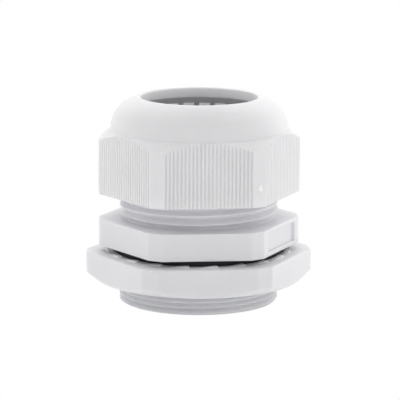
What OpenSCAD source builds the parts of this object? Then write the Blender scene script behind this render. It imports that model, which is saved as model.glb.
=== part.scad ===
// Cable gland, hexagonal, domed compression nut, flat sealing washer and
// hexagonal lock nut. All sizes in millimetres.
//
// Frame: +Z runs along the cable, towards the dome. The origin is the centre
// of the underside of the body's hexagonal flange, the face that looks at the
// panel.

/* [Part to draw] */
// Which piece is drawn

/* [Threads] */
// Outside diameter of the panel thread
panel_thread_d = 47; // [46.4:0.1:47.2]
// Pitch of the panel thread
panel_pitch = 1.5875; // [1.5:0.0125:1.7]
// How far the panel thread reaches below the flange
panel_thread_l = 16.8; // [16:0.1:20]
// Outside diameter of the thread the dome nut turns on
nut_thread_d = 46.8; // [46.4:0.1:47]
// Pitch of the thread the dome nut turns on
nut_pitch = 2.5; // [2.4:0.05:2.6]
// Gap between a thread's crest and the nut round it, on the radius
thread_gap = 0.12; // [0.1:0.01:0.16]

/* [Body] */
// Flange size across the flats
flange_af = 53.4; // [53:0.1:54]
// Length of one flange flat between its blunted corners
flange_flat = 25.8; // [25:0.1:27]
// Flange thickness
flange_h = 8; // [7:0.1:8.6]
// Bore through the body
bore_d = 34; // [33:0.1:34.6]
// Depth of the blank label panel sunk in one flange flat
label_depth = 0.7; // [0.4:0.1:0.9]

/* [Dome nut] */
// Dome nut size across the flats
nut_af = 53.6; // [53.4:0.1:54]
// Length of one dome nut flat between its blunted corners
nut_flat = 25.78; // [25.4:0.02:26]
// Gap between the flange and the dome nut, nut slack
nut_lift = 7.39; // [7.2:0.01:8]
// Number of grip grooves in each flat
grooves = 23; // [15:2:23]
// Depth of a grip groove
groove_depth = 0.45; // [0.2:0.05:0.5]
// Opening in the dome for the cable
opening_d = 34.4; // [34.2:0.1:35]

/* [Lock nut] */
// Lock nut size across the flats
lock_af = 60.3; // [58:0.1:62]
// Length of one lock nut flat between its blunted corners
lock_flat = 28.86; // [28:0.02:30]
// Lock nut thickness
lock_h = 8.3; // [7:0.1:9]
// Number of gripping ramps on the lock nut's upper face
ramps = 20; // [12:2:24]

/* [Seal, claws and washer] */
// Bore of the seal, the thickest cable it takes
seal_d = 32; // [31:0.1:32.4]
// Length of the seal
seal_l = 12.4; // [10:0.1:13]
// Thickness of the flat sealing washer
gasket_t = 1.87; // [1.5:0.01:2.2]
// Outside diameter of the flat sealing washer
gasket_d = 50.4; // [49:0.1:50.6]

/* [Turned positions] */
// Angle of the dome nut's flats
nut_turn = 6.1; // [0:0.1:59]
// Angle of the flange's flats
body_turn = 5.3; // [0:0.1:59]
// Angle of the lock nut's flats
lock_turn = 5.2; // [0:0.1:59]
// Angle of the first claw finger
claw_turn = -80.43; // [-90:0.01:90]

/* [Hidden] */
$fn = 96;

nylon = [0.93, 0.93, 0.935];
rubber = [0.1, 0.1, 0.105];
over = 1;                          // how far a cut runs past the face it opens
eps = 0.01;                        // small overrun of a bevel cut

// threads: radius at crest and root, and height of a crest on the -Y side
panel_ridge = 0.75;
panel_crest_r = panel_thread_d / 2;
panel_root_r = panel_crest_r - panel_ridge;
panel_crest_z = -14.39;
nut_ridge = 1.2;
nut_crest_r = nut_thread_d / 2;
nut_root_r = nut_crest_r - nut_ridge;
nut_crest_z = 9.9;
neck_cut = 0.1;                    // depth of a plain neck below the thread's root
rod_clear = 0.2;                   // trimming profiles clear the crests by this
cut_slack = 0.02;                  // widening of a ridge that cuts a nut, in pitches

// body
flange_corner_r = flange_af / 2 + 3.1;
flange_bevel = 0.8;
body_top = 26.5;                   // top of the threaded barrel
seat_z = 23.6;                     // floor of the seal's seat
seat_r = 18.2;
label_w = 19.8;
label_z = 1.25;                    // lower edge of the label panel

// dome nut, heights above its lower face
nut_z = flange_h + nut_lift;       // lower face of the dome nut
nut_hex_h = 19.4;                  // where the dome meets the hexagon
nut_h = 28.4;                      // rim of the opening
nut_corner_r = 29.9;
nut_bevel = 0.7;
dome_r = 26.3;                     // radius of the dome at its foot
lip_h = 3;                         // height of the rim's lip
chamber_r = 21.2;                  // radius at the foot of the closing cone
groove_pitch = 25.1 / 23 * (nut_flat / 25.78);
groove_w = groove_pitch * 0.46;    // width at the mouth, twice that of the floor

// seal
seal_r = seat_r - 0.1;
seal_top = seat_z + seal_l;
seal_bevel = 0.8;                  // height of the bevels at the mouth

// lock nut
lock_top = -gasket_t;
lock_bottom = lock_top - lock_h;
lock_corner_r = lock_af / 2 + 3.3;
lock_bevel = 0.7;                  // bevel of the upper corners
ramp_turn = -156;                  // angle of the first ramp
ramp_r = 25.6;                     // inner radius of the ramps
ramp_w = 1.6;                      // radial width of a ramp
ramp_l = 6.2;
ramp_h = 0.4;
ramp_edge = 0.02;                  // height of a ramp's two ends
ramp_sunk = 0.5;                   // depth of a ramp's foot inside the nut

// claws
fingers = 24;                      // claw fingers round the seal, one node each
claw_r = 19.2;                     // radius of the claws' hinge line
claw_z = 27.6;                     // height of the claws' hinge line
claw_t = 2;                        // thickness of a claw finger
claw_h = 11.4;                     // height of a finger above its hinge
claw_w = 4.6;                      // width of a finger at its hinge
claw_root_w = 4.5;                 // width of the round root
claw_taper = 2.87;                 // lean of each side face, degrees
claw_slope_z = 7.4;                // where the outer face starts to slope in
claw_tip_t = 0.4;                  // thickness at the tip

// a point turned about the origin
function turned(p, a) = [p.x * cos(a) - p.y * sin(a), p.x * sin(a) + p.y * cos(a)];

// hexagon with blunted corners, from the points of the flat that faces +X
function hex_outline(flat_pts) = [for (i = [0:5]) for (p = flat_pts) turned(p, 60 * i - 90)];
function plain_flat(across, flat) = [[across / 2, -flat / 2], [across / 2, flat / 2]];

// one flat of the dome nut: lands with tapered grooves between them
function ribbed_flat() = let (land = nut_af / 2, floor_x = land - groove_depth)
    concat([[land, -nut_flat / 2]],
        [for (k = [0:grooves - 1]) let (y = (k - (grooves - 1) / 2) * groove_pitch)
            each [[land, y - groove_w / 2], [floor_x, y - groove_w / 4],
                [floor_x, y + groove_w / 4], [land, y + groove_w / 2]]],
        [[land, nut_flat / 2]]);

// points along an arc and along a cubic curve, in the (radius, height) plane
function arc_pts(centre, r, a0, a1, steps) =
    [for (k = [0:steps]) let (a = a0 + (a1 - a0) * k / steps) centre + r * [cos(a), sin(a)]];
function curve_pts(start, pull0, pull1, end, steps) =
    [for (k = [0:steps]) let (t = k / steps, s = 1 - t)
        s * s * s * start + 3 * s * s * t * pull0 + 3 * s * t * t * pull1 + t * t * t * end];

// Screw-threaded rod with one right-handed ridge. crest is the ridge's radius,
// depth its height, crest_z the height of a crest on the -Y side. slack, in
// pitches, widens the ridge when the rod is used to cut a nut. The rod
// overruns z0 and z1, and the caller trims it.
module helix_rod(crest, depth, pitch, crest_z, z0, z1, slack = 0) {
    facets = 40;                               // in one turn
    root_half = 0.34 + slack;                  // half widths of the ridge, in pitches
    crest_half = 0.14 + slack;
    first = floor((z0 - crest_z) / pitch) - 2;
    last = ceil((z1 - crest_z) / pitch) + 1;
    // columns: height in pitches, radius; four rows to a pitch
    rows = [for (k = [first:last]) each [
        [k - root_half, crest - depth], [k - crest_half, crest],
        [k + crest_half, crest], [k + root_half, crest - depth]]];
    top = len(rows) - 1;
    low_tip = len(rows) * facets;
    high_tip = low_tip + 1;
    points = concat(
        [for (row = rows) for (i = [0:facets - 1]) let (a = 360 * i / facets - 90)
            [row[1] * cos(a), row[1] * sin(a), crest_z + pitch * (row[0] + i / facets)]],
        [[0, 0, crest_z + pitch * (first - 1)], [0, 0, crest_z + pitch * (last + 2)]]);
    // the last column joins the first one four rows up, one pitch higher
    function id(j, i) = i < facets ? j * facets + i : (j + 4) * facets;
    side = [for (j = [0:top - 1]) for (i = [0:facets - 1]) if (i < facets - 1 || j + 5 <= top)
        each [[id(j, i), id(j + 1, i), id(j + 1, i + 1)],
            [id(j, i), id(j + 1, i + 1), id(j, i + 1)]]];
    // rims of the two ends, each closed by a fan to its tip on the axis
    low = concat([for (i = [0:facets - 1]) id(0, i)], [for (j = [4:-1:1]) id(j, 0)]);
    high = concat([for (i = [0:facets - 1]) id(top, i)],
        [for (j = [top - 1:-1:top - 4]) id(j, facets - 1)]);
    ends = concat(
        [for (q = [0:len(low) - 1]) [low_tip, low[q], low[(q + 1) % len(low)]]],
        [for (q = [0:len(high) - 1]) [high_tip, high[(q + 1) % len(high)], high[q]]]);
    polyhedron(points, concat(side, ends), convexity = 12);
}

// hexagonal flange with lightly broken corners
module flange() {
    bevel_r = flange_corner_r - flange_bevel;
    rotate(body_turn) intersection() {
        linear_extrude(flange_h) polygon(hex_outline(plain_flat(flange_af, flange_flat)));
        rotate_extrude() polygon([[0, 0], [bevel_r, 0], [flange_corner_r, flange_bevel],
            [flange_corner_r, flange_h - flange_bevel], [bevel_r, flange_h], [0, flange_h]]);
    }
}

// threaded barrel above the flange, with a plain neck
module barrel() {
    neck_r = nut_root_r - neck_cut;
    trim_r = nut_crest_r + rod_clear;
    intersection() {
        helix_rod(nut_crest_r, nut_ridge, nut_pitch, nut_crest_z, flange_h, body_top);
        rotate_extrude() polygon([[0, flange_h - 2], [neck_r, flange_h - 2],
            [neck_r, flange_h + 0.8], [trim_r, flange_h + 1.7],
            [trim_r, body_top - 1], [nut_crest_r - 0.9, body_top], [0, body_top]]);
    }
}

// threaded spigot below the flange, with a plain neck
module spigot() {
    neck_r = panel_root_r - neck_cut;
    trim_r = panel_crest_r + rod_clear;
    end_z = -panel_thread_l;
    intersection() {
        helix_rod(panel_crest_r, panel_ridge, panel_pitch, panel_crest_z, end_z, 0);
        rotate_extrude() polygon([[0, end_z], [panel_crest_r - 0.4, end_z],
            [trim_r, end_z + 0.5], [trim_r, -1.5], [neck_r, -0.9], [neck_r, 2], [0, 2]]);
    }
}

// Gland body: flange, barrel for the dome nut and spigot for the panel.
module gland_body() color(nylon) {
    difference() {
        union() {
            flange();
            barrel();
            spigot();
        }
        // passage for the cable
        translate([0, 0, -panel_thread_l - over])
            cylinder(d = bore_d, h = panel_thread_l + body_top + 2 * over);
        // seat for the seal
        translate([0, 0, seat_z]) cylinder(r = seat_r, h = body_top - seat_z + over);
        // entry bevel at the lower end
        translate([0, 0, -panel_thread_l - eps]) cylinder(d1 = bore_d + 2, d2 = bore_d, h = 1);
        // blank label panel
        rotate(body_turn - 30) translate([flange_af / 2 - label_depth, -label_w / 2, label_z])
            cube([4, label_w, flange_h - 2.3]);
    }
}

// ribbed hexagon of the dome nut, its upper end rounded over
module ribbed_hexagon()
    rotate(nut_turn) intersection() {
        linear_extrude(nut_hex_h + 0.6) polygon(hex_outline(ribbed_flat()));
        rotate_extrude() polygon(concat(
            [[0, 0], [nut_corner_r - nut_bevel, 0], [nut_corner_r, nut_bevel]],
            arc_pts([dome_r - 3.8, nut_hex_h - 6.4], 7.65, 14.7, 62, 8),
            [[0, nut_hex_h + 0.35]]));
    }

// solid dome; its foot is sunk in the hexagon
module dome() {
    opening_r = opening_d / 2;
    rotate_extrude() polygon(concat([[0, nut_hex_h - 3], [dome_r, nut_hex_h - 3]],
        curve_pts([dome_r, nut_hex_h], [dome_r - 0.8, nut_hex_h + 4.8],
            [dome_r - 2.5, nut_h - 1.85], [opening_r + 1.1, nut_h - 0.05], 16),
        [[opening_r + 0.7, nut_h], [0, nut_h]]));
}

// space inside the dome nut: chamber round the claws, closing cone and lip
module claw_chamber() {
    opening_r = opening_d / 2;
    relief_r = nut_crest_r + thread_gap + 0.1;
    rotate_extrude() polygon([[0, 12.6], [nut_root_r, 12.6], [relief_r, 13.4],
        [relief_r, 17.8], [chamber_r, 19.2], [chamber_r, 22],
        [opening_r, nut_h - lip_h], [opening_r, nut_h - 0.55],
        [opening_r + 0.16, nut_h - 0.16], [opening_r + 0.6, nut_h],
        [opening_r + 0.6, nut_h + over], [0, nut_h + over]]);
}

// Dome nut: ribbed hexagon below, smooth dome above, inner cone that closes
// the claws.
module dome_nut() color(nylon) translate([0, 0, nut_z]) {
    difference() {
        union() {
            ribbed_hexagon();
            dome();
        }
        // thread that turns on the barrel, and its entry bevel
        intersection() {
            translate([0, 0, -nut_z]) helix_rod(nut_crest_r + thread_gap, nut_ridge, nut_pitch,
                nut_crest_z, nut_z, nut_z + 14, cut_slack);
            translate([0, 0, -over]) cylinder(r = nut_crest_r + 1, h = 14.6);
        }
        translate([0, 0, -eps]) cylinder(r1 = nut_crest_r + 0.8, r2 = nut_root_r, h = 1.6);
        claw_chamber();
    }
}

// Rubber seal, a plain sleeve with a bevelled mouth, standing in the body's seat.
module seal() color(rubber) {
    core_r = seal_d / 2 - 1;                   // inside the bore, which is cut after
    difference() {
        rotate_extrude() polygon([[core_r, seat_z], [seal_r, seat_z],
            [seal_r, seal_top - seal_bevel], [seal_r - 0.5, seal_top], [core_r, seal_top]]);
        translate([0, 0, seat_z - over]) cylinder(d = seal_d, h = seal_l + 2 * over);
        translate([0, 0, seal_top - seal_bevel])
            cylinder(d1 = seal_d, d2 = seal_d + 1.2, h = seal_bevel + eps);
    }
}

// Flat sealing washer between the flange and the lock nut or panel.
module gasket() color(rubber)
    translate([0, 0, -gasket_t]) difference() {
        cylinder(d = gasket_d, h = gasket_t);
        translate([0, 0, -over]) cylinder(r = panel_crest_r + 0.15, h = gasket_t + 2 * over);
    }

// hexagon of the lock nut, bevelled deeply below and lightly above
module lock_hexagon()
    translate([0, 0, lock_bottom]) rotate(lock_turn) intersection() {
        linear_extrude(lock_h) polygon(hex_outline(plain_flat(lock_af, lock_flat)));
        rotate_extrude() polygon([[0, 0], [lock_af / 2 - 0.15, 0], [lock_corner_r, 2.2],
            [lock_corner_r, lock_h - lock_bevel], [lock_corner_r - lock_bevel, lock_h],
            [0, lock_h]]);
    }

// one gripping ramp: long and low, rising to one end and stepped there
module lock_ramp()
    translate([0, -ramp_l / 2, lock_top]) rotate([90, 0, 90]) translate([0, 0, ramp_r])
        linear_extrude(ramp_w) polygon([[0, -ramp_sunk], [ramp_l, -ramp_sunk],
            [ramp_l, ramp_edge], [5.7, ramp_h], [4.6, ramp_h], [0, ramp_edge]]);

// Lock nut: flat hexagon, bevelled below, with gripping ramps on top.
module lock_nut() color(nylon) {
    difference() {
        union() {
            lock_hexagon();
            for (i = [0:ramps - 1]) rotate(ramp_turn + i * 360 / ramps) lock_ramp();
        }
        // panel thread and its entry bevels
        helix_rod(panel_crest_r + thread_gap, panel_ridge, panel_pitch, panel_crest_z,
            lock_bottom, lock_top, cut_slack);
        translate([0, 0, lock_bottom - eps])
            cylinder(r1 = panel_crest_r + 0.6, r2 = panel_root_r, h = 1.2);
        translate([0, 0, lock_top - 1])
            cylinder(r1 = panel_root_r, r2 = panel_crest_r + 0.5, h = 1 + eps);
    }
}

// One claw finger: a tapered blade with a round root. It stands at the body's
// rim and leans in when the dome nut is tightened.
module finger(number) color(nylon)
    rotate(claw_turn + (number - 1) * 360 / fingers) translate([claw_r, 0, claw_z]) {
        inner = -claw_t / 2;
        outer = claw_t / 2;
        difference() {
            rotate([90, 0, 0]) translate([0, 0, -claw_w / 2]) linear_extrude(claw_w)
                polygon([[inner, 0], [outer, 0], [outer, claw_slope_z],
                    [inner + claw_tip_t, claw_h], [inner, claw_h]]);
            // cuts that taper the two sides
            for (s = [-1, 1])
                translate([-5, s * claw_w / 2, 0]) rotate([s * claw_taper, 0, 0])
                    translate([0, s > 0 ? 0 : -3, -1]) cube([10, 3, claw_h + 3]);
        }
        rotate([90, 0, 0]) cylinder(r = claw_t / 2, h = claw_root_w, center = true);
    }

module finger_01() finger(1);
module finger_02() finger(2);
module finger_03() finger(3);
module finger_04() finger(4);
module finger_05() finger(5);
module finger_06() finger(6);
module finger_07() finger(7);
module finger_08() finger(8);
module finger_09() finger(9);
module finger_10() finger(10);
module finger_11() finger(11);
module finger_12() finger(12);
module finger_13() finger(13);
module finger_14() finger(14);
module finger_15() finger(15);
module finger_16() finger(16);
module finger_17() finger(17);
module finger_18() finger(18);
module finger_19() finger(19);
module finger_20() finger(20);
module finger_21() finger(21);
module finger_22() finger(22);
module finger_23() finger(23);
module finger_24() finger(24);

gland_body();
dome_nut();
seal();
gasket();
lock_nut();
finger_01();
finger_02();
finger_03();
finger_04();
finger_05();
finger_06();
finger_07();
finger_08();
finger_09();
finger_10();
finger_11();
finger_12();
finger_13();
finger_14();
finger_15();
finger_16();
finger_17();
finger_18();
finger_19();
finger_20();
finger_21();
finger_22();
finger_23();
finger_24();
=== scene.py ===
# A nylon cable gland standing upright on a white floor. From the top down: dome nut over a
# ring of claws and a rubber seal, body with a hexagonal flange, rubber washer, lock nut.
# The axis is Z, z = 0 is the underside of the flange, and the front is -Y.
import math
from typing import NamedTuple

import bmesh
import bpy
import numpy as np
from mathutils import Matrix, Vector


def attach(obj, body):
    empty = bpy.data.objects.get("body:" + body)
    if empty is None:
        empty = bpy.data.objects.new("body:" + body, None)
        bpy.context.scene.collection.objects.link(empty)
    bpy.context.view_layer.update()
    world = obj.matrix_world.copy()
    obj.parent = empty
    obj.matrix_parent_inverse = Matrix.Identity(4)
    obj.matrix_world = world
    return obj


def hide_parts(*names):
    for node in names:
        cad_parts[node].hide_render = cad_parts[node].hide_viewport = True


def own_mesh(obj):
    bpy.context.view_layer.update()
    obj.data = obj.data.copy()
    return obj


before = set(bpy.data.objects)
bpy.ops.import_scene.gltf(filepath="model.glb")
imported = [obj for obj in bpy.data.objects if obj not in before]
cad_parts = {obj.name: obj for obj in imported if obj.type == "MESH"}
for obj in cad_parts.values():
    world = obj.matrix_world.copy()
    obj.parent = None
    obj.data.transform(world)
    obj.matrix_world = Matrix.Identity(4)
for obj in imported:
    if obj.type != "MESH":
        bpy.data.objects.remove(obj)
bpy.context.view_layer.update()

MM = 0.001
PI = math.pi
TAU = 2 * PI


class Hexagon(NamedTuple):
    """A hexagon with blunted corners. turn: degrees from the front to the middle of a flat."""
    across: float   # between opposite flats
    flat: float     # length of one flat
    turn: float

    @property
    def corner_reach(self):
        """Distance from the axis to the small face that blunts a corner."""
        return self.across / 2 * math.cos(PI / 6) + self.flat / 2 * math.sin(PI / 6)


class Thread(NamedTuple):
    pitch: float
    crest_r: float
    depth: float
    crest_z: float  # height of one crest at the front

    @property
    def root_r(self):
        return self.crest_r - self.depth


# ------------------------------------------------------------------ sizes, in mm
FLANGE = Hexagon(across=53.4, flat=25.8, turn=5.3)
DOME_NUT = Hexagon(across=53.6, flat=25.78, turn=6.1)
LOCK_NUT = Hexagon(across=60.3, flat=28.86, turn=5.2)
BARREL_THREAD = Thread(pitch=2.5, crest_r=23.4, depth=1.2, crest_z=9.9)
PANEL_THREAD = Thread(pitch=1.5875, crest_r=23.5, depth=0.75, crest_z=-14.39)
NUT_CLEARANCE = 0.12        # extra depth of the thread grooves inside both nuts

FLANGE_H = 8.0
BODY_TOP = 26.5
BODY_BOTTOM = -16.8
SEAT_Z, SEAT_R = 23.6, 18.2  # recess in the barrel's top that holds the seal
BORE_R = 17.0

NUT_Z = 15.39               # underside of the dome nut
NUT_SIDE_H = 19.0
DOME_Z = NUT_Z + NUT_SIDE_H
NUT_TOP = NUT_Z + 28.4
DOME_R = 26.3               # at the dome's foot
OPENING_R = 17.2

WASHER_H = 1.87
LOCK_TOP = -WASHER_H
LOCK_Z = LOCK_TOP - 8.3

CLAWS = 24
CLAW_R, CLAW_Z = 19.2, 27.6  # middle of a claw's rounded root
CLAW_T = 2.0
CLAW_START = -79.9          # degrees from +X to the first claw


# ------------------------------------------------------------------ mesh tools
def grid_quads(rows, columns):
    """Quads of a grid whose columns close into a ring."""
    j, i = np.meshgrid(np.arange(rows - 1), np.arange(columns), indexing="ij")
    after = (i + 1) % columns
    corners = [j * columns + i, j * columns + after, (j + 1) * columns + after,
               (j + 1) * columns + i]
    return np.stack(corners, -1).reshape(-1, 4)


class MeshBuilder:
    """Collects vertices (mm), quads and triangles, then welds them into one Blender mesh."""

    def __init__(self):
        self.points, self.quads, self.tris, self.count = [], [], [], 0

    def add(self, points, quads=None, tris=None):
        points = np.asarray(points, float).reshape(-1, 3)
        if quads is not None:
            self.quads.append(np.asarray(quads, np.int64) + self.count)
        if tris is not None:
            self.tris.append(np.asarray(tris, np.int64) + self.count)
        self.points.append(points)
        self.count += len(points)

    def add_rings(self, points):
        """points: array of rings x points x 3."""
        self.add(points, grid_quads(*points.shape[:2]))

    def build(self, name, sharp, weld=2e-4):
        """sharp: degrees above which an edge is sharp. weld: size of the merging cells, mm."""
        points = np.concatenate(self.points)
        cells = np.round(points / weld).astype(np.int64)
        _, first, merged = np.unique(cells, axis=0, return_index=True, return_inverse=True)
        merged = merged.reshape(-1)
        points = points[first]
        faces = []
        for quads in self.quads:
            for quad in merged[quads]:
                face = [quad[0]]
                for corner in quad[1:]:
                    if corner != face[-1]:
                        face.append(corner)
                if len(face) > 1 and face[0] == face[-1]:
                    face.pop()
                if len(face) >= 3 and len(set(face)) == len(face):
                    faces.append(tuple(int(x) for x in face))
        for tris in self.tris:
            for tri in merged[tris]:
                if len(set(tri.tolist())) == 3:
                    faces.append(tuple(int(x) for x in tri))
        mesh = bpy.data.meshes.new(name)
        mesh.from_pydata((points * MM).tolist(), [], faces)
        mesh.validate()
        bm = bmesh.new()
        bm.from_mesh(mesh)
        bmesh.ops.dissolve_degenerate(bm, dist=1e-8, edges=bm.edges[:])
        loose = [vert for vert in bm.verts if not vert.link_faces]
        if loose:
            bmesh.ops.delete(bm, geom=loose, context="VERTS")
        bmesh.ops.recalc_face_normals(bm, faces=bm.faces[:])
        bm.to_mesh(mesh)
        bm.free()
        mesh.shade_smooth()
        mesh.set_sharp_from_angle(angle=math.radians(sharp))
        ob = bpy.data.objects.new(name, mesh)
        bpy.context.scene.collection.objects.link(ob)
        return ob


def even_angles(count):
    return np.arange(count) * TAU / count


def distinct(angles, decimals, least_gap):
    """Sorted angles without near repeats."""
    angles = np.unique(np.round(angles, decimals))
    keep = np.ones(len(angles), bool)
    keep[1:] = np.diff(angles) > least_gap
    return angles[keep]


def column_angles(count, extra):
    """Even angles plus extra ones. Even angles close to an extra one give way to it."""
    even = even_angles(count)
    extra = np.mod(np.asarray(extra, float), TAU)
    gap = np.abs(np.mod(even[:, None] - extra[None, :] + PI, TAU) - PI).min(1)
    even = even[gap > 0.25 * 2 * PI / count]
    return distinct(np.concatenate([even, extra]), decimals=7, least_gap=1e-5)


def ring_points(angles, r, z):
    r = np.broadcast_to(r, angles.shape)
    z = np.broadcast_to(z, angles.shape)
    return np.stack([r * np.cos(angles), r * np.sin(angles), z], -1)


def lathe(mesh, angles, rows):
    """Joins successive rings. rows: (r, z), each a number or an array over the angles."""
    mesh.add_rings(np.stack([ring_points(angles, r, z) for r, z in rows]))


def stitch(mesh, angles_a, r_a, z_a, angles_b, r_b, z_b):
    """A band of triangles between two rings with different columns."""
    ring_a = ring_points(angles_a, r_a, z_a)
    ring_b = ring_points(angles_b, r_b, z_b)
    count_a, count_b = len(ring_a), len(ring_b)
    ends_a = np.append(angles_a, angles_a[0] + TAU)
    ends_b = np.append(angles_b, angles_b[0] + TAU)
    tris = []
    i = j = 0
    while i < count_a or j < count_b:
        here_b = count_a + j % count_b
        if j >= count_b or (i < count_a and ends_a[i + 1] <= ends_b[j + 1]):
            tris.append((i % count_a, (i + 1) % count_a, here_b))
            i += 1
        else:
            tris.append((i % count_a, count_a + (j + 1) % count_b, here_b))
            j += 1
    mesh.add(np.concatenate([ring_a, ring_b]), tris=tris)


def turn_share(angles):
    """Share of a full turn counted from the front."""
    return np.mod(angles + PI / 2, TAU) / TAU


def helix(mesh, angles, thread, z_low, z_high, row_shares, radius):
    """Helical grid between two heights. row_shares: heights of the rows within one pitch, as
    shares counted from the crest. radius(z, share) gives the surface."""
    count, per_turn = len(angles), len(row_shares)
    first = int(math.floor((z_low - thread.crest_z) / thread.pitch)) - 2
    last = int(math.ceil((z_high - thread.crest_z) / thread.pitch)) + 2
    base = np.concatenate([k + np.asarray(row_shares) for k in range(first, last)])
    rows = len(base)
    turn = turn_share(angles)
    order = np.argsort(turn, kind="stable")
    angles, turn = angles[order], turn[order]
    z = np.clip(thread.crest_z + thread.pitch * (base[:, None] + turn[None, :]), z_low, z_high)
    share = (z - thread.crest_z) / thread.pitch - turn[None, :]
    r = radius(z, share - np.round(share))
    points = np.stack([r * np.cos(angles), r * np.sin(angles), z], -1)
    # the last column joins the first one a full pitch higher
    j, i = np.meshgrid(np.arange(rows - 1), np.arange(count), indexing="ij")
    after = np.where(i + 1 < count, j * count + i + 1, (j + per_turn) * count)
    after_up = np.where(i + 1 < count, (j + 1) * count + i + 1, (j + 1 + per_turn) * count)
    quads = np.stack([j * count + i, after, after_up, (j + 1) * count + i], -1).reshape(-1, 4)
    mesh.add(points, quads[(quads < rows * count).all(1)])


def thread_end(angles, thread, z, radius):
    """Radii of a helix where it is cut by a level plane."""
    share = (z - thread.crest_z) / thread.pitch - turn_share(angles)
    return radius(z, share - np.round(share))


def rounded_form(share, crest, root):
    """Thread form of the nuts: 1 up to the crest share, 0 from the root share."""
    share = np.abs(share)
    slope = 0.5 + 0.5 * np.cos(PI * (np.clip(share, crest, root) - crest) / (root - crest))
    return np.where(share <= crest, 1.0, np.where(share >= root, 0.0, slope))


def vee_form(share, crest, root, soft=0.035):
    """Thread form of the body: straight flanks with small roundings."""
    share = np.abs(share)
    form = np.zeros_like(share)
    for weight, shift in ((0.25, -soft), (0.5, 0.0), (0.25, soft)):
        form = form + weight * np.clip((root - np.abs(share + shift)) / (root - crest), 0.0, 1.0)
    return np.minimum(form, 1.0)


def smooth_step(x, low, high):
    t = np.clip((x - low) / (high - low), 0, 1)
    return t * t * (3 - 2 * t)


def hex_radius(angles, hexagon, power=420.0):
    """Radius of the blunted hexagon. A higher power gives crisper edges."""
    scale = 20.0    # keeps the powers within range
    total = np.zeros_like(angles)
    for k in range(12):
        cosine = np.cos(angles - math.radians(hexagon.turn - 90 + 30 * k))
        distance = hexagon.across / 2 if k % 2 == 0 else hexagon.corner_reach
        facing = cosine > 0.2
        term = (np.where(facing, cosine, 1.0) / distance * scale) ** power
        total = total + np.where(facing, term, 0.0)
    return scale * total ** (-1.0 / power)


def along_flat(angles, hexagon):
    """Distance along the nearest flat from its middle."""
    start = math.radians(hexagon.turn - 90)
    k = np.round(np.degrees(np.mod(angles - start, TAU)) / 60.0)
    local = np.mod(angles - start - k * PI / 3 + PI, TAU) - PI
    return hexagon.across / 2 * np.tan(local)


WIDE_SPREAD = (-1.3, -0.9, -0.6, -0.35, -0.15, 0, 0.15, 0.35, 0.6, 0.9, 1.3)


def flat_end_angles(hexagon, spread=WIDE_SPREAD):
    """Angles about both ends of each flat. spread: degrees either side of an end."""
    half = math.degrees(math.atan2(hexagon.flat / 2, hexagon.across / 2))
    return [math.radians(hexagon.turn - 90 + 60 * k + side * half + x)
            for k in range(6) for side in (-1, 1) for x in spread]


def curve(start, corner, end, steps):
    """(r, z) points of a quadratic curve, ends included."""
    rows = []
    for k in range(steps + 1):
        t = k / steps
        rows.append(tuple((1 - t) ** 2 * a + 2 * (1 - t) * t * b + t * t * c
                          for a, b, c in zip(start, corner, end)))
    return rows


# ------------------------------------------------------------------ node tools
def node(tree, kind, inputs=None, **settings):
    """Adds a node. inputs: values to set, or sockets to link, by input name or index."""
    made = tree.nodes.new(kind)
    for key, value in settings.items():
        setattr(made, key, value)
    for key, value in (inputs or {}).items():
        if isinstance(value, bpy.types.NodeSocket):
            tree.links.new(value, made.inputs[key])
        else:
            made.inputs[key].default_value = value
    return made


def find_node(tree, kind):
    return next(n for n in tree.nodes if n.type == kind)


def set_inputs(tree, target, values):
    for key, value in values.items():
        if isinstance(value, bpy.types.NodeSocket):
            tree.links.new(value, target.inputs[key])
        else:
            target.inputs[key].default_value = value


def rgba(color):
    """A grey number or an RGB colour, made opaque."""
    return (*color, 1) if isinstance(color, tuple) else (color, color, color, 1)


def noise(tree, vector, scale, detail=3.0, roughness=0.5):
    inputs = {"Scale": scale, "Detail": detail, "Roughness": roughness, "Vector": vector}
    return node(tree, "ShaderNodeTexNoise", inputs).outputs["Fac"]


def ramp(tree, factor, low, high):
    """low, high: (position, colour) of the two stops."""
    made = node(tree, "ShaderNodeValToRGB", {0: factor})
    for stop, (position, color) in zip(made.color_ramp.elements, (low, high)):
        stop.position = position
        stop.color = rgba(color)
    return made.outputs[0]


def mix(tree, factor, first, second, blend="MIX"):
    return node(tree, "ShaderNodeMix", {0: factor, 6: first, 7: second},
                data_type="RGBA", blend_type=blend).outputs[2]


def bump(tree, height, strength, distance, normal=None):
    inputs = {"Strength": strength, "Distance": distance, "Height": height}
    if normal is not None:
        inputs["Normal"] = normal
    return node(tree, "ShaderNodeBump", inputs).outputs[0]


def math_node(tree, operation, *values):
    return node(tree, "ShaderNodeMath", dict(enumerate(values)), operation=operation).outputs[0]


# ------------------------------------------------------------------ materials
def new_material(name):
    material = bpy.data.materials.new(name)
    material.use_nodes = True
    tree = material.node_tree
    tree.nodes.clear()
    output = node(tree, "ShaderNodeOutputMaterial")
    bsdf = node(tree, "ShaderNodeBsdfPrincipled")
    tree.links.new(bsdf.outputs[0], output.inputs[0])
    return material, tree, bsdf


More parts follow.
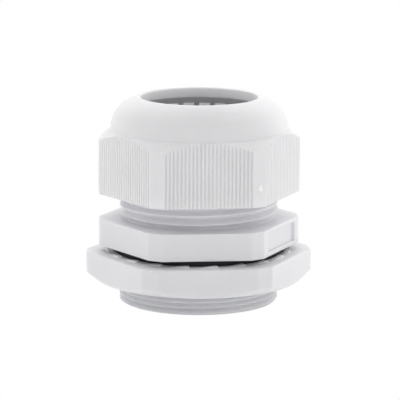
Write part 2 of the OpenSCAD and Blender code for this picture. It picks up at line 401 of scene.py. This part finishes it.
def nylon(name, tint, seed, rough=(0.38, 0.50), soft=0.40):
    """Light grey moulded nylon. seed shifts the textures, rough is the range of roughness,
    soft the subsurface weight."""
    material, tree, bsdf = new_material(name)
    coords = node(tree, "ShaderNodeTexCoord").outputs["Object"]
    vector = node(tree, "ShaderNodeMapping", {
        "Location": (seed, seed * 0.7, -seed * 0.4), "Vector": coords}).outputs[0]

    # faint cloudiness, darkened slightly by a fine grain
    cloud = ramp(tree, noise(tree, vector, scale=55.0, detail=4.0, roughness=0.55),
                 low=(0.30, tuple(x * 0.975 for x in tint)),
                 high=(0.70, tuple(min(1, x * 1.02) for x in tint)))
    fine = ramp(tree, noise(tree, vector, scale=900.0, detail=3.0, roughness=0.6),
                low=(0.25, 0.965), high=(0.75, 1))
    color = mix(tree, 0.6, cloud, fine, "MULTIPLY")

    # rare dark specks: small dots, kept only where a coarse noise is high
    dots = node(tree, "ShaderNodeTexVoronoi", {"Scale": 190.0, "Vector": vector})
    dots = ramp(tree, dots.outputs["Distance"], low=(0.018, 1), high=(0.030, 0))
    kept = ramp(tree, noise(tree, vector, scale=120.0, detail=0.0),
                low=(0.66, 0), high=(0.67, 1))
    specks = mix(tree, 1.0, dots, kept, "MULTIPLY")
    color = mix(tree, specks, color, rgba((0.50, 0.49, 0.50)))

    roughness = ramp(tree, noise(tree, vector, scale=260.0, detail=4.0, roughness=0.6),
                     low=(0.2, rough[0]), high=(0.8, rough[1]))
    grain = noise(tree, vector, scale=2600.0, detail=2.0)
    wave = noise(tree, vector, scale=160.0, detail=2.0)
    grain = bump(tree, grain, strength=0.12, distance=0.00004)
    normal = bump(tree, wave, strength=0.10, distance=0.00025, normal=grain)
    set_inputs(tree, bsdf, {
        "Base Color": color,
        "Roughness": roughness,
        "IOR": 1.5,
        "Specular IOR Level": 0.42,
        "Subsurface Weight": soft,
        "Subsurface Radius": (1.0, 0.98, 0.95),
        "Subsurface Scale": 0.0025,
        "Normal": normal,
    })
    return material


def painted_glow(material, strength, z_range, r_range=None, color=(1.0, 1.0, 1.0)):
    """Painted light: a faint emission glow put on the surface to stand in for light coming
    through thin nylon. It rises from 0 to 1 over z_range and, where given, from 0 to 1 over
    r_range (both in mm, from dark to bright)."""
    tree = material.node_tree
    coords = node(tree, "ShaderNodeTexCoord").outputs["Object"]

    def between(socket, span):
        return node(tree, "ShaderNodeMapRange", {
            "From Min": span[0] * MM, "From Max": span[1] * MM, "Value": socket}).outputs[0]

    height = node(tree, "ShaderNodeSeparateXYZ", {0: coords}).outputs["Z"]
    glow = between(height, z_range)
    if r_range is not None:
        level = node(tree, "ShaderNodeVectorMath", {0: coords, 1: (1.0, 1.0, 0.0)},
                     operation="MULTIPLY").outputs[0]
        radius = node(tree, "ShaderNodeVectorMath", {0: level}, operation="LENGTH")
        glow = math_node(tree, "MULTIPLY", glow, between(radius.outputs["Value"], r_range))
    glow = math_node(tree, "MULTIPLY", glow, strength)
    # the painted glow: the nylon is made to emit light, though it is no lamp
    set_inputs(tree, find_node(tree, "BSDF_PRINCIPLED"), {
        "Emission Color": rgba(color), "Emission Strength": glow})


def rubber(name, dark, light, scale, rough):
    """Black rubber, mottled between dark and light, with a little dust and a fine bump."""
    material, tree, bsdf = new_material(name)
    vector = node(tree, "ShaderNodeTexCoord").outputs["Object"]
    mottle = ramp(tree, noise(tree, vector, scale=scale, detail=5.0, roughness=0.6),
                  low=(0.3, dark), high=(0.72, light))
    dust = ramp(tree, noise(tree, vector, scale=2200.0, detail=2.0, roughness=0.7),
                low=(0.66, 0), high=(0.78, 0.35))
    dust_color = tuple(min(1, x * 4 + 0.03) for x in light)
    color = mix(tree, dust, mottle, rgba(dust_color))
    roughness = ramp(tree, noise(tree, vector, scale=400.0),
                     low=(0.3, rough[0]), high=(0.7, rough[1]))
    fine = noise(tree, vector, scale=1800.0, detail=4.0, roughness=0.6)
    set_inputs(tree, bsdf, {
        "Base Color": color,
        "Roughness": roughness,
        "Specular IOR Level": 0.3,
        "Normal": bump(tree, fine, strength=0.35, distance=0.00006),
    })
    return material


# ------------------------------------------------------------------ dome nut
def grooved_hexagon():
    """Angles and radii of the nut's outline, with upright grooves along each flat."""
    grooves, depth = 23, 0.36
    pitch = 25.82 / grooves
    half_across = DOME_NUT.across / 2
    # columns within a groove's pitch, as shares of it
    shares = (-0.5, -0.30, -0.235, -0.17, -0.09, 0.09, 0.17, 0.235, 0.30)
    angles = flat_end_angles(DOME_NUT, (-0.5, -0.3, -0.12, 0, 0.12, 0.3, 0.6, 0.95))
    for k in range(6):
        middle = math.radians(DOME_NUT.turn - 90 + 60 * k)
        for groove in range(grooves):
            centre = (groove - (grooves - 1) / 2) * pitch
            angles += [middle + math.atan2(centre + s * pitch, half_across) for s in shares]
        angles.append(middle + math.atan2((grooves / 2) * pitch, half_across))
        angles += [middle + PI / 6 + math.radians(x) for x in (-3.2, -1.6, 0, 1.6, 3.2)]
    angles = distinct(np.mod(angles, TAU), decimals=6, least_gap=2.0e-4)

    along = along_flat(angles, DOME_NUT)
    place = along / pitch + (grooves - 1) / 2
    nearest = np.round(place)
    off_centre = np.abs((place - nearest) * pitch)
    grooved = (nearest >= 0) & (nearest <= grooves - 1)
    cut = depth * (1 - smooth_step(off_centre, 0.07 * pitch, 0.29 * pitch))
    cut = np.where(grooved, cut, 0.0)
    lean = np.cos(np.arctan2(along, half_across))
    return angles, hex_radius(angles, DOME_NUT, 500.0) - cut / np.maximum(lean, 0.8)


def build_dome_nut():
    mesh = MeshBuilder()
    angles, side = grooved_hexagon()
    draft = 0.09            # how far the side widens towards its bottom
    foot_round = 0.14
    cone_slope = 0.88

    def cone_z(r):
        return DOME_Z - cone_slope * (r - DOME_R)

    def side_r(z):
        return side + draft * (1 - (z - NUT_Z) / NUT_SIDE_H)

    # bottom edge and upright side
    crease_z = cone_z(side)
    foot_r = side - foot_round + draft
    rows = curve((foot_r, NUT_Z), (side + draft, NUT_Z), (side + draft, NUT_Z + foot_round), 3)
    for share in (0.2, 0.5, 0.8):
        z = NUT_Z + foot_round + (crease_z - 0.25 - NUT_Z - foot_round) * share
        rows.append((side_r(z), z))
    # rounded crease, then the cone up to the dome's foot
    cone_r = side - 0.16
    rows += curve((side_r(crease_z - 0.2), crease_z - 0.2), (side_r(crease_z), crease_z),
                  (cone_r, cone_z(cone_r)), 4)
    cone_end_r = DOME_R + 0.12
    for share in np.linspace(0, 1, 7)[1:]:
        r = np.maximum(cone_r + (cone_end_r - cone_r) * share, cone_end_r)
        rows.append((r, cone_z(r)))
    # small rounding at the dome's foot, then the dome as a cubic curve
    foot_z = cone_z(cone_end_r)
    rows.append((DOME_R + 0.03, foot_z + 0.05))
    c0 = np.array([DOME_R - 0.02, foot_z + 0.16])
    c1 = np.array([DOME_R - 0.8, DOME_Z + 5.2])
    c2 = np.array([DOME_R - 2.5, NUT_TOP - 1.85])
    c3 = np.array([OPENING_R + 1.1, NUT_TOP - 0.05])
    for t in np.linspace(0, 1, 40):
        rows.append(tuple((1 - t) ** 3 * c0 + 3 * (1 - t) ** 2 * t * c1
                          + 3 * (1 - t) * t * t * c2 + t ** 3 * c3))
    # rim of the opening: radius beyond the opening's, height from the nut's top
    rim = [(0.86, 0.0), (0.5, 0.0), (0.3, -0.015), (0.17, -0.06), (0.08, -0.14), (0.02, -0.26),
           (0.0, -0.4), (0.0, -1.6), (0.0, -2.6), (0.05, -2.84), (0.18, -2.98), (0.42, -3.2)]
    rows += [(OPENING_R + r, NUT_TOP + z) for r, z in rim]
    lathe(mesh, angles, rows)

    # inside, with fewer columns
    inner_angles = even_angles(240)
    stitch(mesh, angles, OPENING_R + 0.42, NUT_TOP - 3.2, inner_angles, 18.4, NUT_TOP - 4.02)
    # (r, z) from the opening down to the thread
    inner = [(18.4, NUT_TOP - 4.02), (21.0, NUT_TOP - 6.2), (21.2, NUT_TOP - 6.5),
             (21.2, NUT_Z + 19.35), (21.35, NUT_Z + 19.05), (23.5, NUT_Z + 17.9),
             (23.62, NUT_Z + 17.7), (23.62, NUT_Z + 13.44)]
    z_high, z_low = NUT_Z + 13.4, NUT_Z + 0.4
    thread = BARREL_THREAD

    def thread_r(z, share):
        bevel = thread.root_r + np.clip((NUT_Z + 1.7 - z), 0, 2) * 1.25
        form = rounded_form(share, crest=0.13, root=0.46)
        r = (thread.root_r + 0.03) + (thread.depth + NUT_CLEARANCE) * form
        return np.minimum(np.maximum(r, bevel), thread.crest_r + 0.6)

    shares = (-0.5, -0.41, -0.33, -0.26, -0.19, -0.11, 0.0, 0.11, 0.19, 0.26, 0.33, 0.41)
    helix(mesh, inner_angles, thread, z_low, z_high, shares, thread_r)
    low_r = thread_end(inner_angles, thread, z_low, thread_r)
    high_r = thread_end(inner_angles, thread, z_high, thread_r)
    lathe(mesh, inner_angles, inner + [(high_r, z_high)])
    lathe(mesh, inner_angles, [(low_r, z_low), (low_r + 0.28, z_low - 0.28),
                               (low_r + 0.5, NUT_Z)])
    stitch(mesh, inner_angles, low_r + 0.5, NUT_Z, angles, foot_r, NUT_Z)
    return mesh.build("dome_nut_shell", sharp=28.0)


def build_gate_mark():
    """A low domed drop-shaped disc on the blunted corner to the right of the nut's front."""
    mesh = MeshBuilder()
    radius, height, stretch = 0.84, 0.14, 1.3
    aside, mark_z = 0.17, 20.95     # aside: off the middle of the blunted corner
    turn = math.radians(DOME_NUT.turn + 30)
    reach = DOME_NUT.corner_reach
    centre = (reach * math.sin(turn) + aside * math.cos(turn),
              -reach * math.cos(turn) + aside * math.sin(turn), mark_z)
    outward = Vector((math.sin(turn), -math.cos(turn), 0.0)).normalized()
    rotation = np.array(outward.to_track_quat("Z", "Y").to_matrix())
    angles = even_angles(32)
    # share of the radius, height above the surface
    profile = [(0.0, height), (0.35, height * 0.97), (0.65, height * 0.85),
               (0.85, height * 0.6), (0.97, height * 0.25), (1.0, 0.0), (1.0, -0.06),
               (0.6, -0.08), (0.0, -0.08)]
    rings = []
    for share, z in profile:
        r = share * radius if share else 1e-4   # tiny centre rings, welded to a point
        local = np.stack([r * np.cos(angles) * (1 - 0.22 * np.sin(angles)),
                          r * stretch * np.sin(angles), np.full_like(angles, z)], -1)
        rings.append(local @ rotation.T + np.array(centre))
    mesh.add_rings(np.stack(rings))
    return mesh.build("dome_nut_gate_mark", sharp=40.0, weld=5e-4)


# ------------------------------------------------------------------ gland body
RECESS_HALF, RECESS_DEPTH = 9.9, 0.7    # shallow recess in the flange's flat to the right
RECESS_Z0, RECESS_Z1 = 1.25, 6.95


def build_body():
    mesh = MeshBuilder()
    recess_angle = math.radians(FLANGE.turn - 30)
    half_across = FLANGE.across / 2
    extra = flat_end_angles(FLANGE)
    for side in (-1, 1):
        for x in (0.08, 0.02, -0.03, -0.09):
            extra.append(recess_angle + side * math.atan2(RECESS_HALF + x, half_across))
    angles = column_angles(288, extra)
    hexagon = hex_radius(angles, FLANGE)
    local = np.mod(angles - recess_angle + PI, TAU) - PI
    along = half_across * np.tan(np.clip(local, -1.2, 1.2))
    on_flat = np.abs(local) < 0.5
    recessed = 1 - smooth_step(np.abs(along), RECESS_HALF - 0.06, RECESS_HALF + 0.03)
    recessed = np.where(on_flat, recessed, 0.0)

    def side_r(z):
        cut = (recessed * RECESS_DEPTH * smooth_step(z, RECESS_Z0 - 0.02, RECESS_Z0 + 0.06)
               * (1 - smooth_step(z, RECESS_Z1 - 0.06, RECESS_Z1 + 0.02)))
        return hexagon - cut / np.cos(np.where(on_flat, local, 0))

    # flange: underside, bottom edge, side, top edge, top, rounding into the barrel
    panel, barrel = PANEL_THREAD, BARREL_THREAD
    panel_neck = panel.root_r - 0.1
    neck = barrel.root_r - 0.1
    neck_round, top_round = 0.45, 0.32
    side_heights = (0.7, 1.0, 1.2, 1.23, 1.25, 1.27, 1.29, 1.31, 1.34, 1.9, 4.1, 6.3,
                    6.86, 6.89, 6.91, 6.93, 6.95, 6.97, 7.02, 7.3)
    rows = [(panel_neck, 0.0), (panel.crest_r + 1.5, 0.0), (hexagon - 0.9, 0.0)]
    rows += curve((hexagon - 0.22, 0.0), (hexagon, 0.0), (hexagon, 0.22), 4)
    rows += [(side_r(z), z) for z in side_heights]
    rows += curve((hexagon, FLANGE_H - top_round), (hexagon, FLANGE_H),
                  (hexagon - top_round, FLANGE_H), 6)
    rows += [(hexagon - 1.2, FLANGE_H), (barrel.crest_r + 1.6, FLANGE_H),
             (barrel.crest_r + 0.1, FLANGE_H)]
    rows += curve((neck + neck_round, FLANGE_H), (neck, FLANGE_H),
                  (neck, FLANGE_H + neck_round), 4)
    lathe(mesh, angles, rows)

    # barrel thread, fading in above the flange and out at the top
    z_low, z_high = FLANGE_H + neck_round, BODY_TOP - 0.7

    def barrel_r(z, share):
        start = smooth_step(z, FLANGE_H + 0.75, FLANGE_H + 1.75)
        form = vee_form(share, crest=0.085, root=0.44)
        fade = 1 - 0.8 * smooth_step(z, z_high - 0.35, z_high)
        return neck + (-0.15 + (barrel.depth + 0.25) * form) * start * fade

    shares = (-0.5, -0.45, -0.405, -0.34, -0.27, -0.20, -0.13, -0.085, -0.05,
              0.0, 0.05, 0.085, 0.13, 0.20, 0.27, 0.34, 0.405, 0.45)
    helix(mesh, angles, barrel, z_low, z_high, shares, barrel_r)
    high_r = thread_end(angles, barrel, z_high, barrel_r)

    # top of the barrel, seat, bore, lower mouth
    rows = curve((high_r, z_high), (22.1, BODY_TOP), (21.4, BODY_TOP), 4)
    rows += [
        (20.4, BODY_TOP), (SEAT_R + 0.3, BODY_TOP), (SEAT_R + 0.06, BODY_TOP - 0.1),
        (SEAT_R, BODY_TOP - 0.35), (SEAT_R, SEAT_Z + 0.15), (SEAT_R - 0.1, SEAT_Z),
        (BORE_R + 0.25, SEAT_Z), (BORE_R, SEAT_Z - 0.25), (BORE_R, 8), (BORE_R, -4),
        (BORE_R, BODY_BOTTOM + 1.3), (BORE_R + 0.12, BODY_BOTTOM + 0.95),
        (BORE_R + 0.85, BODY_BOTTOM + 0.1), (BORE_R + 1.05, BODY_BOTTOM),
        (panel.crest_r - 1.4, BODY_BOTTOM),
    ]
    lathe(mesh, angles, rows)

    # panel thread, bevelled at the bottom and fading out below the flange
    z_low, z_high = BODY_BOTTOM + 0.12, -0.55

    def panel_r(z, share):
        bevel = panel.crest_r - 0.30 + np.clip(z - BODY_BOTTOM, 0, 2) * 0.9
        fade = 1 - smooth_step(z, -1.5, -0.9)
        form = vee_form(share, crest=0.07, root=0.46)
        return np.minimum(panel_neck + fade * (-0.12 + (panel.depth + 0.22) * form), bevel)

    shares = (-0.5, -0.46, -0.42, -0.34, -0.25, -0.16, -0.10, -0.05,
              0.0, 0.05, 0.10, 0.16, 0.25, 0.34, 0.42, 0.46)
    helix(mesh, angles, panel, z_low, z_high, shares, panel_r)
    low_r = thread_end(angles, panel, z_low, panel_r)
    lathe(mesh, angles, [(panel.crest_r - 1.4, BODY_BOTTOM), (low_r - 0.35, BODY_BOTTOM),
                         (low_r - 0.12, BODY_BOTTOM + 0.02), (low_r, z_low)])
    high_r = thread_end(angles, panel, z_high, panel_r)
    lathe(mesh, angles, [(high_r, z_high), (panel_neck, -0.3), (panel_neck, 0)])
    return mesh.build("gland_body_shell", sharp=30.0)


# ------------------------------------------------------------------ lock nut
def build_lock_nut():
    mesh = MeshBuilder()
    # ramped teeth on the top face: each climbs slowly and drops off steeply
    teeth, first_tooth, tooth_h = 20, -156.0, 0.42
    tooth_columns = (-6.9, -6.7, -6.3, -3.0, 0.5, 3.0, 3.4, 5.4, 5.7, 6.1, 6.4, 6.7, 6.9)
    extra = flat_end_angles(LOCK_NUT)
    extra += [math.radians(first_tooth + i * 360 / teeth + x)
              for i in range(teeth) for x in tooth_columns]
    angles = column_angles(240, extra)
    half_step = PI / teeth
    within = np.mod(angles - math.radians(first_tooth) + half_step, TAU / teeth) - half_step
    within = np.degrees(within)
    climb = np.clip((within + 6.8) / 10.0, 0, 1) * (1 - smooth_step(within, 5.7, 6.7))

    # bottom face, then its corners cut back by a cone
    hexagon = hex_radius(angles, LOCK_NUT, 360.0)
    cone_r, cone_slope = LOCK_NUT.across / 2 - 0.15, 2.2 / 3.45

    def cone_z(r):
        return LOCK_Z + np.maximum(r - cone_r, 0.0) * cone_slope + 0.03

    cone_end = hexagon - 0.16
    crease_z = LOCK_Z + np.maximum(hexagon - cone_r, 0.02) * cone_slope
    rows = [(cone_r - 1.6, LOCK_Z), (cone_r - 0.35, LOCK_Z), (cone_r - 0.12, LOCK_Z + 0.02)]
    for share in (0.15, 0.3, 0.5, 0.7, 0.9):
        r = cone_r + (cone_end - cone_r) * share
        rows.append((r, cone_z(r)))
    rows += curve((cone_end, cone_z(cone_end)), (hexagon, crease_z),
                  (hexagon, crease_z + 0.22), 4)
    # side and rounded top edge
    top_round = 0.75
    for share in (0.33, 0.66):
        z = crease_z + 0.22 + (LOCK_TOP - top_round - crease_z - 0.22) * share
        rows.append((hexagon, z))
    rows += curve((hexagon, LOCK_TOP - top_round), (hexagon, LOCK_TOP),
                  (hexagon - top_round, LOCK_TOP), 8)
    rows.append((hexagon - 1.6, LOCK_TOP))
    # section of a tooth: radius, share of its height
    tooth = [(27.45, 0), (27.3, 0.55), (27.12, 0.95), (26.8, 1.0), (26.0, 1.0),
             (25.62, 0.98), (25.5, 0.6), (25.42, 0)]
    rows += [(r, LOCK_TOP + tooth_h * climb * share) for r, share in tooth]
    rows.append((24.6, LOCK_TOP))

    z_high, z_low = LOCK_TOP - 0.1, LOCK_Z + 0.1
    thread = PANEL_THREAD

    def thread_r(z, share):
        bevel = np.maximum(thread.root_r + np.clip(z - (LOCK_TOP - 1.0), 0, 2) * 1.2,
                           thread.root_r + np.clip((LOCK_Z + 1.1) - z, 0, 2) * 1.2)
        form = rounded_form(share, crest=0.10, root=0.44)
        r = thread.root_r + (thread.depth + NUT_CLEARANCE) * form
        return np.minimum(np.maximum(r, bevel), thread.crest_r + 0.7)

    high_r = thread_end(angles, thread, z_high, thread_r)
    low_r = thread_end(angles, thread, z_low, thread_r)
    rows += [(high_r + 0.12, LOCK_TOP), (high_r, z_high)]
    lathe(mesh, angles, rows)
    shares = (-0.5, -0.44, -0.36, -0.27, -0.18, -0.10, 0.0, 0.10, 0.18, 0.27, 0.36, 0.44)
    helix(mesh, angles, thread, z_low, z_high, shares, thread_r)
    lathe(mesh, angles, [(low_r, z_low), (low_r + 0.12, LOCK_Z), (cone_r - 1.6, LOCK_Z)])
    return mesh.build("lock_nut_shell", sharp=30.0)


# ------------------------------------------------------------------ washer, seal, claws
def build_washer():
    """Flat ring with a bulging, slightly uneven outer edge."""
    mesh = MeshBuilder()
    angles = even_angles(192)
    outer, inner = 25.2, PANEL_THREAD.crest_r + 0.15
    bottom = -WASHER_H
    uneven = 0.035 * np.sin(3 * angles + 0.6) + 0.02 * np.sin(7 * angles + 2.0)
    rows = [(inner, bottom + 0.12), (inner + 0.12, bottom + 0.01), (outer - 0.28, bottom + 0.01)]
    for degrees in np.linspace(-80, 80, 11):
        bulge = math.radians(degrees)
        rise = (WASHER_H / 2 - 0.01) * math.sin(bulge) / math.sin(math.radians(80))
        rows.append((outer - 0.3 + uneven + 0.3 * math.cos(bulge), bottom + WASHER_H / 2 + rise))
    rows += [(outer - 0.45, -0.01), (inner + 0.12, -0.01), (inner, -0.12),
             (inner, bottom + 0.12)]
    lathe(mesh, angles, rows)
    return mesh.build("washer_ring", sharp=40.0)


def build_seal():
    """Sleeve with shallow grooves round the outside and a rounded top."""
    mesh = MeshBuilder()
    outer, groove, inner = 18.1, 17.75, 16.0
    top = SEAT_Z + 12.4
    rows = [(inner, SEAT_Z + 0.2), (16.2, SEAT_Z), (17.8, SEAT_Z), (outer, SEAT_Z + 0.25)]
    z = SEAT_Z + 0.8
    while z < top - 1.6:
        rows += [(outer, z), (18.08, z + 0.25), (groove, z + 0.55), (groove, z + 0.85),
                 (18.08, z + 1.15), (outer, z + 1.4)]
        z += 1.9
    rows += [(outer, top - 0.85), (18.02, top - 0.6), (17.75, top - 0.18),
             (17.45, top - 0.03), (17.2, top), (16.85, top - 0.02), (16.55, top - 0.14),
             (16.25, top - 0.45), (16.06, top - 0.85), (inner, top - 1.3), (inner, top - 4),
             (inner, SEAT_Z + 4), (inner, SEAT_Z + 0.2)]
    lathe(mesh, even_angles(192), rows)
    return mesh.build("seal_sleeve", sharp=40.0)


def build_claw(number):
    """A curved, tapered blade: rounded root, and a thin tip bevelled on the outer side."""
    mesh = MeshBuilder()
    half_t = CLAW_T / 2
    # section through the middle: distance outward, height. The root comes first.
    section = [(half_t * math.cos(math.radians(a)), half_t * math.sin(math.radians(a)))
               for a in np.linspace(180, 360, 11)]
    section += [
        (half_t, 2.5), (half_t, 5.0), (half_t, 7.0), (half_t - 0.02, 7.25),
        (half_t - 0.10, 7.55), (half_t - 0.5, 8.6), (half_t - 1.0, 9.85),
        (-half_t + 0.56, 10.95), (-half_t + 0.48, 11.12), (-half_t + 0.36, 11.28),
        (-half_t + 0.22, 11.36), (-half_t + 0.10, 11.32), (-half_t + 0.02, 11.18),
        (-half_t, 10.9), (-half_t, 8.0), (-half_t, 5.0), (-half_t, 2.5),
    ]
    section = np.array(section)
    count = len(section)
    tangent = np.roll(section, -1, 0) - np.roll(section, 1, 0)
    outward = np.stack([tangent[:, 1], -tangent[:, 0]], -1)
    outward /= np.linalg.norm(outward, axis=1, keepdims=True)
    height = section[:, 1]
    half_width = (2.3 - 0.0501 * np.maximum(height, 0.0)) - 0.05 * (height < 0)

    # slices across the width: share of the half width, inset that rounds the edges
    slices = [(-1.0, 0.16), (-0.985, 0.05), (-0.94, 0), (-0.6, 0), (-0.2, 0),
              (0.2, 0), (0.6, 0), (0.94, 0), (0.985, 0.05), (1.0, 0.16)]
    rings = []
    for share, inset in slices:
        outline = section - outward * inset
        r = CLAW_R + outline[:, 0]
        angle = half_width * share / CLAW_R
        rings.append(np.stack([r * np.cos(angle), r * np.sin(angle),
                               CLAW_Z + outline[:, 1]], -1))
    points = np.stack(rings).reshape(-1, 3)

    # end caps: strips across the section, working up both ways from the root's lowest point
    lowest = 5
    tris = []
    for base in (0, (len(slices) - 1) * count):
        for i in range(count // 2):
            left, right = base + (lowest - i) % count, base + (lowest + i) % count
            next_left = base + (lowest - i - 1) % count
            next_right = base + (lowest + i + 1) % count
            tris += [(left, right, next_right), (left, next_right, next_left)]

    turn = math.radians(CLAW_START + (number - 1) * 360 / CLAWS)
    rotation = np.array([[math.cos(turn), -math.sin(turn), 0],
                         [math.sin(turn), math.cos(turn), 0], [0, 0, 1]])
    mesh.add(points @ rotation.T, grid_quads(len(slices), count), tris)
    return mesh.build("claw_finger_%02d" % number, sharp=35.0)


# ------------------------------------------------------------------ assembly
def register(ob, material, slot, body, *replaced):
    ob.data.materials.append(material)
    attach(ob, body)
    if replaced:
        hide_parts(*replaced)


nylon_nut = nylon("nylon_nut", tint=(0.790, 0.787, 0.800), seed=0.0, rough=(0.30, 0.40))
nylon_gate = nylon("nylon_gate_mark", tint=(0.92, 0.92, 0.925), seed=1.3, soft=0.0)
nylon_body = nylon("nylon_body", tint=(0.762, 0.762, 0.785), seed=0.31)
nylon_lock = nylon("nylon_lock_nut", tint=(0.765, 0.765, 0.785), seed=0.77)
nylon_claw = nylon("nylon_claw", tint=(0.775, 0.782, 0.815), seed=0.53)
# painted glow on the inner wall of the opening, lightening it where it lies in shade
painted_glow(nylon_nut, strength=0.085, z_range=(NUT_TOP - 3.1, NUT_TOP - 2.7),
              r_range=(OPENING_R + 0.22, OPENING_R + 0.02))
# painted glow on the claw tips: emission that makes them look brightly lit
painted_glow(nylon_claw, strength=0.16, z_range=(CLAW_Z + 9.2, CLAW_Z + 10.6),
              color=(0.94, 0.95, 1.0))
washer_rubber = rubber("washer_rubber", dark=(0.012, 0.012, 0.013),
                       light=(0.026, 0.025, 0.027), scale=700.0, rough=(0.55, 0.75))
seal_rubber = rubber("seal_rubber", dark=(0.018, 0.018, 0.02),
                     light=(0.035, 0.035, 0.038), scale=500.0, rough=(0.45, 0.65))

register(build_dome_nut(), nylon_nut, "nylon", "dome_nut", "dome_nut")
register(build_gate_mark(), nylon_gate, "nylon", "dome_nut")
register(build_body(), nylon_body, "nylon", "body", "gland_body")
register(build_lock_nut(), nylon_lock, "nylon", "lock_nut", "lock_nut")
register(build_washer(), washer_rubber, "washer_rubber", "washer", "gasket")
seal = build_seal()
register(seal, seal_rubber, "seal_rubber", "seal_ring", "seal")
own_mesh(seal)
for n in range(1, CLAWS + 1):
    register(build_claw(n), nylon_claw, "nylon", "claw_%02d" % n, "finger_%02d" % n)


# ------------------------------------------------------------------ camera
CAMERA_DISTANCE = 731.13    # mm from the origin
CAMERA_ELEVATION = math.radians(12.10)
CAMERA_ROLL = math.radians(0.227)
scene = bpy.context.scene


def add_camera():
    rise, level = math.sin(CAMERA_ELEVATION), math.cos(CAMERA_ELEVATION)
    back = -Vector((0, level, -rise))
    right, up = Vector((1, 0, 0)), Vector((0, rise, level))
    rolled_right = math.cos(CAMERA_ROLL) * right + math.sin(CAMERA_ROLL) * up
    rolled_up = -math.sin(CAMERA_ROLL) * right + math.cos(CAMERA_ROLL) * up
    place = (0, -CAMERA_DISTANCE * level * MM, CAMERA_DISTANCE * rise * MM)
    data = bpy.data.cameras.new("camera")
    camera = bpy.data.objects.new("camera", data)
    scene.collection.objects.link(camera)
    axes = zip(rolled_right, rolled_up, back, place)
    camera.matrix_world = Matrix((*axes, (0, 0, 0, 1)))
    data.sensor_width = 36.0
    data.lens = 221.499
    data.shift_x = 0.00326
    data.shift_y = 0.1053825
    data.clip_start = 0.01
    data.clip_end = 50
    scene.camera = camera


# ------------------------------------------------------------------ world, lights, floor
# soft studio surround: an even part plus broad brighter areas
EVEN_LIGHT = 0.60
BRIGHT_AREAS = [
    # direction, sharpness, strength
    ((0.0, 1.0, 0.2), 4.0, 0.60),
    ((-0.55, 0.59, 0.59), 10.0, 1.10),
    ((0.55, 0.59, 0.59), 10.0, 1.10),
    ((-0.42, -0.06, 0.91), 30.0, 0.20),
    ((0.42, -0.06, 0.91), 30.0, 0.20),
    ((-0.95, 0.1, 0.3), 6.0, 0.25),
    ((0.95, 0.1, 0.3), 6.0, 0.45),
]
AREA_LIGHTS = [
    # name, place, aim (both in m), size in m, power in W
    ("right_box", (0.54, 0.40, 0.14), (0, 0, 0.01), 0.40, 0.25),
    ("overhead_left", (-0.27, -0.04, 0.60), (0, 0, 0.02), 0.16, 0.22),
    ("overhead_right", (0.27, -0.04, 0.60), (0, 0, 0.02), 0.16, 0.22),
]
FLOOR_GLOW = 0.20
FLOOR_HALF = 3.0            # m
FLOOR_GAP = 0.02            # mm below the body


def add_world():
    """The camera sees plain white; everything else is lit by the surround."""
    world = bpy.data.worlds.new("studio")
    scene.world = world
    world.use_nodes = True
    tree = world.node_tree
    tree.nodes.clear()
    output = node(tree, "ShaderNodeOutputWorld")
    coords = node(tree, "ShaderNodeTexCoord").outputs["Generated"]
    total = EVEN_LIGHT
    for direction, sharpness, strength in BRIGHT_AREAS:
        facing = node(tree, "ShaderNodeVectorMath",
                      {0: coords, 1: Vector(direction).normalized()}, operation="DOT_PRODUCT")
        facing = math_node(tree, "MAXIMUM", facing.outputs["Value"], 0.0)
        facing = math_node(tree, "POWER", facing, sharpness)
        total = math_node(tree, "MULTIPLY_ADD", facing, strength, total)
    surround, white = (
        node(tree, "ShaderNodeBackground", {"Color": rgba(1), "Strength": strength}).outputs[0]
        for strength in (total, 1.0))
    camera_ray = node(tree, "ShaderNodeLightPath").outputs["Is Camera Ray"]
    shader = node(tree, "ShaderNodeMixShader", {0: camera_ray, 1: surround, 2: white})
    tree.links.new(shader.outputs[0], output.inputs[0])


def add_area_light(name, place, target, size, power):
    data = bpy.data.lights.new(name, "AREA")
    data.energy = power
    data.size = size
    light = bpy.data.objects.new(name, data)
    scene.collection.objects.link(light)
    light.location = place
    direction = Vector(target) - light.location
    light.rotation_euler = direction.to_track_quat("-Z", "Y").to_euler()


def floor_material():
    """White with a slight glow. The camera sees it as pure white."""
    material, tree, bsdf = new_material("floor_white")
    set_inputs(tree, bsdf, {"Base Color": rgba(0.93), "Roughness": 0.9,
                            "Specular IOR Level": 0.0})
    camera_ray = node(tree, "ShaderNodeLightPath").outputs["Is Camera Ray"]
    white = node(tree, "ShaderNodeEmission", {"Strength": 1.0}).outputs[0]
    glow = node(tree, "ShaderNodeEmission", {"Strength": FLOOR_GLOW}).outputs[0]
    # the mix follows the light path: lit surface for most rays, plain white for the camera
    lit = node(tree, "ShaderNodeAddShader", {0: bsdf.outputs[0], 1: glow}).outputs[0]
    shader = node(tree, "ShaderNodeMixShader", {0: camera_ray, 1: lit, 2: white})
    tree.links.new(shader.outputs[0], find_node(tree, "OUTPUT_MATERIAL").inputs[0])
    return material


def add_floor():
    mesh = bpy.data.meshes.new("floor")
    bm = bmesh.new()
    z = (BODY_BOTTOM - FLOOR_GAP) * MM
    corners = ((-1, -1), (1, -1), (1, 1), (-1, 1))
    bm.faces.new([bm.verts.new((x * FLOOR_HALF, y * FLOOR_HALF, z)) for x, y in corners])
    bm.to_mesh(mesh)
    bm.free()
    floor = bpy.data.objects.new("floor", mesh)
    scene.collection.objects.link(floor)
    mesh.materials.append(floor_material())


add_camera()
add_world()
for settings in AREA_LIGHTS:
    add_area_light(*settings)
add_floor()

scene.view_settings.view_transform = "Standard"
scene.view_settings.look = "None"
scene.view_settings.exposure = 0.0
scene.view_settings.gamma = 1.0

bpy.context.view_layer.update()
